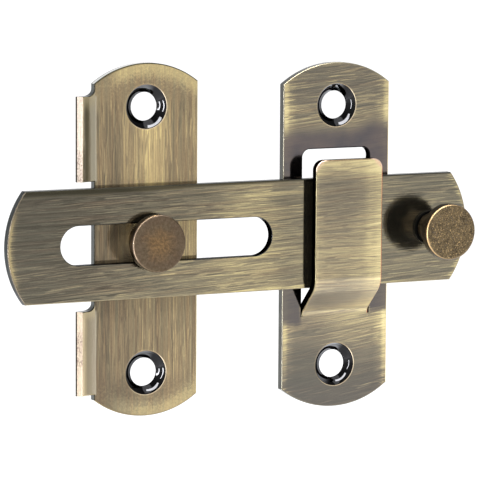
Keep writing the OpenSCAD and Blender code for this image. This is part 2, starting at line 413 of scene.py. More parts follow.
def build_base(mats):
    s = Sheet()
    L = -BASE_W / 2
    RO, RI, A = 6.6, 5.0, math.radians(35)
    s_end = L - RI * A

    def place(u, z, h, n=(0, 1, 0)):
        th = max(0.0, (L - u) / RI)
        if th <= 0:
            return flat_place(u, z, h, n)
        rho = RO - h
        p = ((L - rho * math.sin(th)) / 1000, (-RO + rho * math.cos(th)) / 1000, z / 1000)
        c, q = math.cos(th), math.sin(th)
        return p, (n[0] * c + n[1] * q, n[0] * q - n[1] * c, n[2])

    top, low = arched_pts(BASE_W, BASE_H, BASE_R)
    stations = [L - (L - s_end) * k / 14 for k in range(15)]
    f = 1.3
    tabs = []
    for zlo in (11.9, -29.7):
        zhi = zlo + 16.5
        # upper edge, from the plate's side outwards: fillet, then straight
        upper = [(L - f + f * math.cos(math.radians(a)), zhi + f - f * math.sin(math.radians(a)))
                 for a in (0, 15, 30, 45, 60, 75, 90)]
        us = [p[0] for p in upper] + [x for x in stations if x < upper[-1][0] - 0.08]
        upper += [(x, zhi) for x in us[len(upper):]]
        lower = [(x, zlo) for x in us]
        tabs.append((upper, lower))
    # anticlockwise: top arc, down the left side with the tabs, lower arc, up the right side
    pts = list(top)
    marks = []
    for upper, lower in tabs:
        i0 = len(pts)
        pts += upper
        i1 = len(pts)
        pts += lower[::-1]
        marks.append((i0, i1, len(upper)))
    pts += low
    prof = round_edge(SHEET, 0.20, 0.05, FACE, CORNER_M, WALL)
    outer = Ring(s, pts, prof, place)
    n = len(pts)
    # finishes of the tabs' ends and corners
    per = n
    for k in range(len(prof) - 1):
        for (i0, i1, cnt) in marks:
            s.m[k * per + i1 - 1] = RAW if 1 <= k <= len(prof) - 3 else s.m[k * per + i1 - 1]
    holes = []
    for cz in (PITCH / 2, -PITCH / 2):
        c = arc(0, cz, 2.8, 0, -360, 180)[:-1]
        holes.append(Ring(s, c, sink_edge(SHEET, SINK, 2.8, 1.2, RIM, SINK_M), place))
    c = arc(0, 0, 2.05, 0, -360, 48)[:-1]
    stud = Ring(s, c, [(0, SHEET, 0, SINK_M, 90), (0, 0.88, 90, SINK_M, 135), (0.88, 0.0, 135, SINK_M)], place)
    for ring_no, h, back in ((0, SHEET, False), (-1, 0.0, True)):
        loop_ids, loop_pts, skip = [], [], set()
        for (i0, i1, cnt) in marks:
            up = [(outer.ids[ring_no][i0 + k], outer.pts[ring_no][i0 + k]) for k in range(cnt)]
            dn = [(outer.ids[ring_no][i1 + cnt - 1 - k], outer.pts[ring_no][i1 + cnt - 1 - k]) for k in range(cnt)]
            # from the root outwards: quads (outer side on the left)
            for k in range(cnt - 1):
                q = [dn[k + 1], dn[k], up[k], up[k + 1]]
                if back:
                    q.reverse()
                sg = -1.0 if back else 1.0
                s.face([c[0] for c in q], [place(*c[1], h, (0, sg, 0))[1] for c in q], BACK if back else CURL)
            skip |= set(range(i0 + 1, i1 + cnt - 1))
        for i in range(n):
            if i not in skip:
                loop_ids.append(outer.ids[ring_no][i])
                loop_pts.append(outer.pts[ring_no][i])
        loops = [(loop_ids, loop_pts)] + [(r.ids[ring_no], r.pts[ring_no]) for r in holes + [stud]]
        cap(s, loops, h, BACK if back else FACE, place, back)
    return s.build("base_plate_sheet", mats)


def build_keeper(mats):
    s = Sheet()
    a = math.radians(46)
    k = 1 / math.tan(a)
    ri, ro, rt = 1.5, 3.1, 3.0
    foot_z = -10.1
    low = foot_z + (0 - BAR_F) * k - ro * math.tan(a / 2)
    z2 = foot_z + (5.8 - BAR_F) * k + rt * math.tan(a / 2)
    rm, rn = (ri + ro) / 2, rt + 0.8
    p1 = (3.1 - rm * math.cos(a), low + rm * math.sin(a))
    p2 = (5.8 - rt + rn * math.cos(a), z2 - rn * math.sin(a))
    lf = math.hypot(p2[0] - p1[0], p2[1] - p1[1])
    s1 = rm * a
    s2 = s1 + lf
    s3 = s2 + rn * a
    tip = s3 + HOOK_TOP - z2

    def bent(u, t, h, n=(0, 1, 0)):
        """t is the length along the tongue from the foot of its lower bend."""
        if t <= 0:
            hh, zz, ph = h, low + t, 0.0
        elif t <= s1:
            ph = t / rm
            r = ro - h
            hh, zz = 3.1 - r * math.cos(ph), low + r * math.sin(ph)
        elif t <= s2:
            ph = a
            r = ro - h
            hh = 3.1 - r * math.cos(a) + (t - s1) * math.sin(a)
            zz = low + r * math.sin(a) + (t - s1) * math.cos(a)
        elif t <= s3:
            psi = (t - s2) / rn
            ph = a - psi
            r = rt + h
            hh, zz = 5.8 - rt + r * math.cos(ph), z2 - r * math.sin(ph)
        else:
            ph = 0.0
            hh, zz = 5.8 + h, z2 + (t - s3)
        # along the tongue: (forward, up) = (sin ph, cos ph); out of its front: (cos ph, -sin ph)
        fw = n[1] * math.cos(ph) + n[2] * math.sin(ph)
        up = -n[1] * math.sin(ph) + n[2] * math.cos(ph)
        return (((u + KEEP_X) / 1000, -hh / 1000, (zz + KEEP_Z) / 1000), (n[0], -fw, up))

    def place(u, z, h, n=(0, 1, 0)):
        """The plate where z is real, and the tongue where z was lifted by 1000."""
        if z > 500:
            return bent(u, z - 1000.0, h, n)
        return ((u + KEEP_X) / 1000, -h / 1000, (z + KEEP_Z) / 1000), (n[0], -n[1], n[2])

    top, lower = arched_pts(KEEP_W, KEEP_H, KEEP_R)
    prof = round_edge(SHEET, 0.20, 0.05, FACE, CORNER_M, WALL)
    outer = Ring(s, top + lower, prof, place)
    holes = []
    for cz in (PITCH / 2, -PITCH / 2):
        c = arc(0, cz, 2.8, 0, -360, 180)[:-1]
        holes.append(Ring(s, c, sink_edge(SHEET, SINK, 2.8, 1.2, RIM, SINK_M), place))
    # window and tongue as one contour, the metal on its left: up the tongue's right side is
    # the wrong way, so it runs up the left side of the tongue's outline seen from the slit
    W, T, C, H = WIN_W / 2, HOOK_W / 2, CORNER, HOOK_CR
    st = ([s1 * i / 8 for i in range(1, 9)] + [s1 + lf * i / 3 for i in (1, 2)] +
          [s2 + rn * a * i / 12 for i in range(0, 13)] + [s3 + 2.0, s3 + 12.0])
    right = [(T, low)] + [(T, 1000.0 + t) for t in st]
    tipr = [(T - H + H * math.cos(math.radians(q)), 1000.0 + tip - H + H * math.sin(math.radians(q))) for q in range(0, 91, 9)]
    right += tipr
    left = [(-x, z) for x, z in right]
    windowpts = [(W, low)] + [(W - C + C * math.cos(math.radians(q)), WIN_TOP - C + C * math.sin(math.radians(q))) for q in range(0, 91, 10)]
    windowl = [(-x, z) for x, z in windowpts]
    # metal on the left of the way round: down the window's right side, the slit, up the tongue's right side
    contour = []
    tag = []
    for p in windowpts[::-1]:
        contour.append(p); tag.append("w")
    for p in right:
        contour.append(p); tag.append("t")
    for p in left[::-1]:
        contour.append(p); tag.append("t")
    for p in windowl:
        contour.append(p); tag.append("w")

    # the contour jumps by 1000 where the tongue is lifted, so insets are found in its own flat
    n = len(contour)
    flat = [(x, z - 1000.0 + low if z > 500 else z) for x, z in contour]
    lifted = [z > 500 for x, z in contour]

    # the same rules as Ring, on a contour that is partly bent
    ins = []
    for i in range(n):
        (x0, z0), (x1, z1) = flat[i], flat[(i + 1) % n]
        l = math.hypot(x1 - x0, z1 - z0)
        ins.append((-(z1 - z0) / l, (x1 - x0) / l))
    mit, soft = [], []
    for i in range(n):
        p, q = ins[i - 1], ins[i]
        dot = p[0] * q[0] + p[1] * q[1]
        mit.append(((p[0] + q[0]) / (1 + dot), (p[1] + q[1]) / (1 + dot)))
        soft.append(dot > math.cos(math.radians(28)))
    ids, fl = [], []
    def put(i, inset, h, nrm):
        x, z = flat[i][0] + mit[i][0] * inset, flat[i][1] + mit[i][1] * inset
        if lifted[i]:
            return bent(x, z - low, h, nrm), (x, z)
        if tag[i] == "t":
            return bent(x, z - low, h, nrm), (x, z)
        return place(x, z, h, nrm), (x, z)
    for inset, h, tilt, _ in prof:
        row, fr = [], []
        for i in range(n):
            (pos, _n), f2 = put(i, inset, h, (0, 1, 0))
            s.v.append(pos)
            row.append(len(s.v) - 1)
            fr.append(f2)
        ids.append(row)
        fl.append(fr)
    for kk in range(len(prof) - 1):
        t = (math.radians(prof[kk][2]), math.radians(prof[kk + 1][2]))
        for i in range(n):
            j = (i + 1) % n
            def side(at):
                if soft[at]:
                    c = (ins[at - 1][0] + ins[at][0], ins[at - 1][1] + ins[at][1])
                    l = math.hypot(*c)
                    return (-c[0] / l, -c[1] / l)
                return (-ins[i][0], -ins[i][1])
            def nrm(at, q, ring):
                sd = side(at)
                return put(at, prof[ring][0], prof[ring][1], (sd[0] * math.sin(q), math.cos(q), sd[1] * math.sin(q)))[0][1]
            s.face([ids[kk][i], ids[kk + 1][i], ids[kk + 1][j], ids[kk][j]],
                   [nrm(i, t[0], kk), nrm(i, t[1], kk + 1), nrm(j, t[1], kk + 1), nrm(j, t[0], kk)],
                   (HOOK_CORNER if tag[i] == "t" and tag[j] == "t" else DARK) if prof[kk][3] == CORNER_M else DARK)
    nw, nt = len(windowpts), len(right)
    for ring_no, h, back in ((0, SHEET, False), (-1, 0.0, True)):
        m = BACK if back else FACE
        R = [nw + i for i in range(nt)]                 # up the right side
        L = [nw + 2 * nt - 1 - i for i in range(nt)]    # up the left side
        for i in range(nt - 1):
            q = [L[i], R[i], R[i + 1], L[i + 1]]
            if back:
                q.reverse()
            sg = -1.0 if back else 1.0
            s.face([ids[ring_no][c] for c in q],
                   [put(c, prof[ring_no][0], h, (0, sg, 0))[0][1] for c in q], DARK if back else m)
        # window loop of the plate: window points, then the tongue's two root points
        order = list(range(0, nw)) + [R[0], L[0]] + list(range(nw + 2 * nt, n))
        loops = [(outer.ids[ring_no], outer.pts[ring_no]),
                 ([ids[ring_no][c] for c in order], [fl[ring_no][c] for c in order])]
        loops += [(r.ids[ring_no], r.pts[ring_no]) for r in holes]
        cap(s, loops, h, m, place, back)
    return s.build("keeper_plate_sheet", mats)


def build_bar(mats):
    s = Sheet()
    a = math.degrees(math.asin(BAR_W / 2 / BAR_ER))
    pts = arc(BAR_R - BAR_ER, 0, BAR_ER, -a, a, 44) + arc(BAR_L + BAR_ER, 0, BAR_ER, 180 - a, 180 + a, 44)
    outer = Ring(s, pts, round_edge(BAR_F, 0.20, 0.05, FACE, CORNER_M, WALL, BAR_B), flat_place)
    r = SLOT_W / 2
    pts = arc(SLOT_R, 0, r, 90, -90, 36) + arc(SLOT_L, 0, r, -90, -270, 36)
    slot = Ring(s, pts, round_edge(BAR_F, 0.12, 0.05, FACE, DARK, DARK, BAR_B), flat_place)
    hole = Ring(s, arc(KNOB_X, 0, 2.0, 0, -360, 48)[:-1],
                [(0, BAR_F, 0, SINK_M, 90), (0, BAR_B + 0.7, 90, SINK_M, 135), (0.7, BAR_B, 135, SINK_M)],
                flat_place)
    for ring_no, h, back in ((0, BAR_F, False), (-1, BAR_B, True)):
        cap(s, [(q.ids[ring_no], q.pts[ring_no]) for q in (outer, slot, hole)], h,
            BACK if back else FACE, flat_place, back)
    return s.build("slide_bar_sheet", mats)


# ------------------------------------------------------- patterns of the finish
def outline(g, x, z, w, h, r):
    """Distance in from the sides, and in from the arched ends, in mm."""
    zc = h / 2 - r
    side = w / 2 - g.abs(x)
    end = r - g.length(x, g.mx(g.abs(z) - zc, 0.0))
    return side, end


def strokes(g, u, v, seed, slants=(0.03, -0.045), marks=0.5, fine=1.0, mid=1.0, broad=1.0, run=1.0, pitch=4.2, cross=0.05):
    """Brush strokes along u. Gives (tone, relief, hue), all about 0: dark strokes are above, bright ones below.

    The fine lines are straight, in patches that lean by up to cross to either side. run shortens
    the strokes when it is above 1; pitch is how many fine lines there are to the mm."""
    wander = g.noise(u * 0.02, v * 0.05, seed, detail=1.0) - 0.5
    v1 = v + wander * 0.8
    body = g.noise(u * 0.03 * run, v1 * 0.36, seed + 3.1, detail=2.0, rough=0.6) - 0.5
    wide = g.noise(u * 0.06 * run, v1 * 1.7, seed + 5.3, detail=1.0, rough=0.6) - 0.5
    sets = []
    for i, a in enumerate((0.0, cross, -cross)):
        w = v * math.cos(a) - u * math.sin(a)
        sets.append(g.noise((u * math.cos(a) + v * math.sin(a)) * 0.09 * run, w * pitch, seed + 8.7 + 31.0 * i, detail=1.0, rough=0.7))
    pa = g.step(0.44, 0.56, g.noise(u * 0.20, v * 0.75, seed + 61.0, detail=1.0))
    pb = g.step(0.44, 0.56, g.noise(u * 0.17, v * 0.65, seed + 83.0, detail=1.0))
    hair = g.mix(pa, sets[0], g.mix(pb, sets[1], sets[2])) - 0.5
    grain = g.noise(u * 2.4, v * 3.4, seed + 14.1, detail=1.0, rough=0.6) - 0.5
    hue = g.noise(u * 0.08 * run, v1 * 1.3, seed + 27.0, detail=2.0, rough=0.7) - 0.5
    tone = body * 0.40 * broad + wide * 0.40 * mid + hair * 2.0 * fine + grain * 0.30
    relief = hair + wide * 0.3
    for i, a in enumerate(slants):
        ca, sa = math.cos(a), math.sin(a)
        q = g.noise((u * ca + v * sa) * 0.11 * run, (v * ca - u * sa) * 3.6, seed + 19.7 + 5 * i, detail=1.0, rough=0.6)
        dark = g.step(0.60, 0.68, q)
        light = g.step(0.40, 0.32, q)
        tone = tone + (dark * 0.34 - light * 0.30) * marks
        relief = relief + (light - dark) * 0.25
    return tone, relief, hue


def brushed(g, m, hue, amount=0.5):
    """Base colour of brushed plating: m is how much patina is left, hue drifts from olive to pink."""
    m = g.clamp(m * (1.0 / DEEP))
    return g.mixc(g.clamp(hue * 2.6 + amount), g.ramp(m, TONES), g.ramp(m, TONES_WARM))


def cut_metal(name, dark=(56, 57, 58), pale=(96, 98, 99), rough=0.16, arch_highlight=None, dim=1.0):
    """Glossy dark cut edge, a little uneven, with painted shade where the edge faces down. Its arch colour is a painted
    highlight in the middle of an edge that faces up or down.
    """
    g = Graph(name)
    g.dim_edge(dim)
    n1 = g.noise(g.x * 0.35, g.z * 0.35, g.y * 2.0, detail=2.0)
    n2 = g.noise(g.x * 2.2, g.z * 2.2, g.y * 5.0, detail=3.0, rough=0.6)
    f = g.clamp((n1 - 0.5) * 2.2 + (n2 - 0.5) * 0.8 + 0.5)
    col = g.mixc(f, lin(*dark), lin(*pale))
    # painted shade: cut edges that face down are darker
    col = g.mixc(g.step(-0.15, -0.5, g.nz) * 0.7, col, lin(*[c * 0.6 for c in dark]))
    # painted highlight: the arch colour, near white, on the walls of the arched ends
    if arch_highlight:
        d = -g.y
        band = g.step(0.18, 0.45, d) * g.step(1.42, 1.15, d) * g.step(0.25, 0.45, g.abs(g.nz)) * g.step(29.2, 29.6, g.abs(g.z))
        col = g.mixc(band * g.step(0.25, 0.45, n2 + 0.1), col, lin(*arch_highlight))
    return g.finish(col, rough + (n2 - 0.5) * 0.12, g.bump(n2, 1.0, 0.00001))


def corner_metal(name, left, right, top, low, seed=1.0, uneven=0.6, tips=None):
    """A rolled corner, coloured by which way it faces: painted light and shade, one colour each for edges facing left,
    right, up and down. Dull patches come and go along it.
    """
    g = Graph(name)
    n = g.noise(g.x * 1.5, g.z * 1.5, g.y * 3.0 + seed, detail=3.0, rough=0.65)
    up = g.step(-0.25, 0.25, g.nz)
    side = g.step(-0.15, 0.15, g.nx)
    flat = g.step(-0.08, 0.08, g.abs(g.nz) - g.abs(g.nx))
    # painted light and shade: the colour follows which way the corner faces
    lr = g.mixc(side, lin(*left), lin(*right))
    tb = g.mixc(up, lin(*low), lin(*top))
    col = g.mixc(flat, lr, tb)
    dull = g.mixc(0.55, col, lin(60, 56, 48))
    col = g.mixc(g.step(0.52, 0.64, n) * uneven, col, dull)
    if tips:
        # the hook's two round corners are pale pink
        bare = g.step(HOOK_TOP - 2.6, HOOK_TOP - 1.4, g.z - KEEP_Z) * g.step(4.6, 5.4, g.abs(g.x - KEEP_X))
        col = g.mixc(bare * 0.85, col, lin(*tips))
    return g.finish(col, 0.30 + (n - 0.5) * 0.15)


def black_sink(name, pale, high, left=0.0):
    """Countersinks: the plating, never brushed, so black and glossy, with a painted grey reflection on the left and
    high up, broken into rings.
    left is how far that painted grey reflection also reaches onto the lower hole's left wall."""
    g = Graph(name)
    g.dim_edge(0.35)
    n = g.noise(g.x * 1.1, g.z * 1.1, g.y * 2.0, detail=2.0)
    rings = g.noise(1.0, g.z * 0.2, g.y * 9.0, detail=1.0) - 0.5
    # painted reflection: paler grey where the cone faces left and up
    wear_and_sheen = g.step(0.10, 0.40, (g.nx - g.nz * high) * 0.72)
    if left:
        wear_and_sheen = g.mx(wear_and_sheen, g.step(0.20, 0.46, g.nx + g.nz * 0.12) * g.step(-10.0, -20.0, g.z) * left)
    f = g.clamp((n - 0.5) * 0.1 + wear_and_sheen * (0.85 + rings * 2.2))
    col = g.mixc(f, lin(31, 31, 32), lin(*pale))
    return g.finish(col, 0.04 + (n - 0.5) * 0.02)


def painted_shade_metal(name, dark=(16, 16, 17), pale=(34, 33, 34), rough=0.22):
    """Near-black plating used as painted shade: the walls of the keeper's window and tongue, the tongue's back, and the
    bar's slot.
    """
    g = Graph(name)
    g.dim_edge(0.15)
    n = g.noise(g.x * 0.8, g.z * 0.8, g.y * 1.5, detail=3.0, rough=0.6)
    col = g.mixc(g.clamp((n - 0.5) * 2.4 + 0.5), lin(*dark), lin(*pale))
    return g.finish(col, rough + (n - 0.5) * 0.15)


def rear(name):
    """Rear of the sheet: the dark plating, hardly brushed."""
    g = Graph(name)
    tone, relief, hue = strokes(g, g.z, g.x, 41.0)
    cloud = g.noise(g.x * 0.12, g.z * 0.12, 3.0, detail=3.0) - 0.5
    col = g.mixc(g.clamp(0.5 + tone * 1.0 + cloud * 1.2), lin(116, 106, 88), lin(72, 67, 63))
    return g.finish(col, 0.26 + tone * 0.1, g.bump(relief, 1.0, 0.000008))


DEEP = 1.4                                       # the most patina there can be
TONES = [(t / DEEP, c) for t, c in (
    (0.0, lin(226, 211, 160)),
    (0.2, lin(201, 186, 141)),
    (0.45, lin(160, 148, 118)),
    (0.7, lin(124, 116, 100)),
    (1.0, lin(95, 90, 80)),
    (1.4, lin(66, 63, 56)))]
TONES_WARM = [(t / DEEP, c) for t, c in (
    (0.0, lin(226, 211, 160)),
    (0.2, lin(205, 187, 141)),
    (0.45, lin(166, 148, 117)),
    (0.7, lin(132, 116, 96)),
    (1.0, lin(100, 87, 76)),
    (1.4, lin(68, 60, 53)))]


def base_face():
    g = Graph("base_plate_brushed", aniso=0.8, spread=(1, 0, 0))
    g.p.inputs["Metallic"].default_value = 0.74
    x, z = g.x, g.z
    tone, relief, hue = strokes(g, z, x, 1.0, slants=(0.015, -0.02), marks=0.30, broad=0.5, mid=1.35, fine=0.78, run=0.62, pitch=3.2)
    # both ends were tumbled, not brushed
    ends = g.step(26.8, 30.2, g.abs(z) + g.noise(x * 0.8, z * 0.8, 11.0) * 2.0)
    speck = g.noise(x * 1.9, z * 1.9, 31.0, detail=3.0, rough=0.7) - 0.5
    tone = g.mix(ends * 0.75, tone, speck * 1.5)
    side, end = outline(g, x, z, BASE_W, BASE_H, BASE_R)
    up = g.step(-4.0, 4.0, z)
    upper = g.curve(x, [(-11, 0.70), (-7, 0.67), (-3.5, 0.50), (0.3, 0.33), (3.2, 0.40), (6.0, 0.58), (11, 0.55)])
    lower = g.curve(x, [(-11, 0.74), (-4.5, 0.71), (-1.0, 0.56), (2.5, 0.60), (6.0, 0.54), (11, 0.56)])
    m = g.mix(up, lower, upper)
    m = g.mix(g.step(22.0, 29.0, z), m, 0.62) + 0.15 + g.step(-8.0, -12.0, z) * 0.08 + g.step(-24.0, -30.0, z) * 0.08
    run = end + tone * 1.4
    band = g.step(4.2, 0.9, run) * (g.step(-8.6, -5.2, x + tone) * 0.85 + 0.15)
    m = m + tone * (0.62 - band * 0.20) - band * 0.32
    hole = g.length(x, g.abs(z) - PITCH / 2)
    m = m - g.step(4.8, 4.4, hole) * 0.10
    # in the band of the slot, painted shade left of the stud and painted light right of it
    m = m + g.step(5.0, 3.5, g.abs(z)) * (g.step(-5.0, -8.0, x) * 0.12 - g.step(6.0, 8.5, x) * 0.16)
    col = g.tint(brushed(g, m, hue, 0.62 - band * 0.5), 0.93, 0.895, 0.74)
    col = g.mixc(g.step(0.42, 0.12, end + tone * 0.2) * g.step(1.0, -6.0, x) * 0.9, col, lin(84, 76, 56))
    # painted reflection: light grey where the tabs start to turn forward
    tab = g.mx(g.step(8.5, 8.0, g.abs(z - 20.15)), g.step(8.5, 8.0, g.abs(z + 21.45)))
    col = g.mixc(tab * g.step(-10.35, -10.75, x + hue * 0.6) * 0.85, col, lin(150, 143, 125))
    return g.finish(col, 0.10 + tone * 0.04, g.bump(relief, 1.0, 0.000005))


def curl_face():
    """The inside of the curled tabs, with no brush lines: its bands of grey, dark olive and pale yellow across the curl
    are painted reflection and shade.
    """
    g = Graph("base_tab_curl")
    x, z = g.x, g.z
    n = g.noise(x * 1.8, z * 0.22, 5.0, detail=3.0) - 0.5
    spots = g.noise(x * 3.0, z * 2.2, 15.0, detail=3.0, rough=0.65) - 0.5
    t = g.step(-11.0, -13.9, x)
    m = g.clamp(t + n * 0.30 + spots * 0.18)
    # painted reflection and shade: bands across the curl, from the plate out to the cut end; lighter on the lower tab
    col = g.ramp(m, [(0.0, lin(148, 141, 123)), (0.14, lin(148, 140, 120)), (0.32, lin(114, 105, 86)),
                     (0.48, lin(86, 79, 61)), (0.72, lin(82, 75, 58)), (0.88, lin(102, 94, 77)), (0.97, lin(150, 138, 114)), (1.0, lin(180, 164, 136))])
    low = g.ramp(m, [(0.0, lin(150, 140, 122)), (0.12, lin(140, 130, 110)), (0.50, lin(132, 122, 102)),
                     (0.80, lin(156, 142, 114)), (1.0, lin(196, 178, 146))])
    col = g.mixc(g.step(2.0, -2.0, z), col, low)
    # painted sheen at the upper end of each tab
    top = g.mx(g.step(3.2, 0.2, g.abs(z - 28.4) + n * 2.0) * 0.75, g.step(2.2, 0.2, g.abs(z + 13.2) + n * 1.0))
    col = g.mixc(top * 0.7, col, lin(168, 155, 124))
    return g.finish(col, 0.18 + n * 0.1)


def raw_cut():
    """The sheared end of a tab: bare zinc-pink metal, torn in places."""
    g = Graph("base_tab_raw_end")
    x, z, d = g.x, g.z, -g.y
    across = g.length(x + 11.0, d - 6.6)          # 5.0 at the front edge, 6.6 at the rear
    t = g.noise(x * 5.0, z * 3.2, d * 5.0, detail=4.0, rough=0.65)
    where = g.mx(g.step(20.0, 15.0, g.abs(z)) * g.step(0.0, 2.0, z), g.step(5.5, 1.5, g.abs(z + 20.5)))
    pits = g.step(0.49, 0.58, t) * g.clamp(where * 0.85 + 0.25)
    tint = g.noise(x * 2.0, z * 0.8, d * 2.0 + 4.0, detail=2.0)
    col = g.mixc(g.clamp((tint - 0.5) * 2.0 + 0.5), lin(172, 159, 150), lin(182, 174, 160))
    col = g.mixc(g.step(2.0, -2.0, z), col, g.tint(col, 0.95, 0.92, 0.84))
    fine = g.noise(x * 7.0, z * 4.6, d * 7.0 + 9.0, detail=3.0, rough=0.7)
    col = g.mixc(g.step(0.50, 0.62, fine) * 0.42, col, lin(132, 112, 100))
    col = g.mixc(pits, col, lin(112, 95, 87))
    # painted shade: a near-black line along the rear of the cut end
    col = g.mixc(g.step(6.18, 6.30, across + (t - 0.5) * 0.16), col, lin(34, 33, 30))
    return g.finish(col, 0.55 + (t - 0.5) * 0.3, g.bump(t - pits * 0.5, 1.0, 0.00006))


def bar_face():
    g = Graph("bar_brushed", aniso=0.8, spread=(0, 0, 1))
    g.p.inputs["Metallic"].default_value = 0.985
    x, z = g.x, g.z
    lean = 0.028 + g.step(3.0, -7.0, z) * 0.028
    tone, relief, hue = strokes(g, x, z - x * lean, 2.0, run=0.66, fine=1.25, mid=0.75, broad=0.7, cross=0.04)
    tone = tone * g.curve(x, [(-30, 0.88), (-14, 1.05), (2, 1.02), (14, 0.86), (28, 0.88), (42, 1.08), (70, 1.12)])
    mid = (BAR_L + BAR_R) / 2
    side, end = outline(g, z, x - mid, BAR_W, BAR_R - BAR_L, BAR_ER)
    cx = g.mn(g.mx(x, SLOT_L), SLOT_R)
    slot = g.length(x - cx, z) - SLOT_W / 2
    upper = g.curve(x, [(-28, 1.03), (-16, 1.00), (-5, 0.93), (10, 0.80), (19, 0.55), (25, 0.57), (30, 0.68), (48, 0.76), (69, 0.78)])
    lower = g.curve(x, [(-28, 0.90), (-16, 0.88), (-5, 0.80), (8, 0.70), (19, 0.55), (25, 0.55), (30, 0.64), (48, 0.72), (69, 0.74)])
    m = g.mix(g.step(8.0, -8.0, z), upper, lower)
    m = m + tone * 0.60 + 0.005 + g.step(2.0, -14.0, x) * 0.09
    left = g.step(0.0, -6.0, x)
    wear_and_sheen = g.mix(left, g.step(1.1, 0.1, end + tone * 1.2) * 0.36,
                 (g.step(1.7, 0.2, end + tone * 1.0) * 0.24 + g.step(0.7, 0.1, end + tone * 0.5) * 0.22) * g.step(8.0, 4.0, g.abs(z + 0.5)))
    m = m - wear_and_sheen
    m = m - g.step(0.5, 0.0, slot + tone * 0.4) * 0.06
    m = m - g.step(1.1, 0.1, 10.9 + z) * (0.07 + g.step(-10.0, 25.0, x) * 0.15)
    col = brushed(g, m, hue + left * 0.06, 0.06 - left * 0.06)
    cold = g.step(-6.0, -28.0, x) * 0.30
    col = g.mixc(cold, col, lin(92, 90, 83))
    gold = left * g.step(8.6, 3.0, g.abs(z + 0.4))
    col = g.mixc(gold * g.step(1.9, 0.5, end + tone * 0.9) * 0.28, col, lin(150, 136, 106))
    col = g.mixc(gold * g.clamp(g.step(0.95, 0.45, end + tone * 0.5) * (0.62 + tone * 0.5)), col, lin(180, 162, 122))
    col = g.mixc(g.step(24.0, 44.0, x) * 0.30, col, lin(124, 121, 112))
    # darker along the upper edge, in a band that is wider and darker to the left
    deep = g.curve(x, [(-31, 1.0), (-8, 1.0), (14, 0.55), (40, 0.28), (70, 0.22)])
    over = g.step(1.45, 0.55, (10.9 - z) / deep + tone * 0.5)
    col = g.mixc(over * 0.95, g.tint(col, 1.0, 1.0, 0.94), g.mixc(left * 0.6, lin(72, 67, 52), lin(44, 43, 35)))
    return g.finish(col, 0.11 + tone * 0.04, g.bump(relief, 1.0, 0.000006))


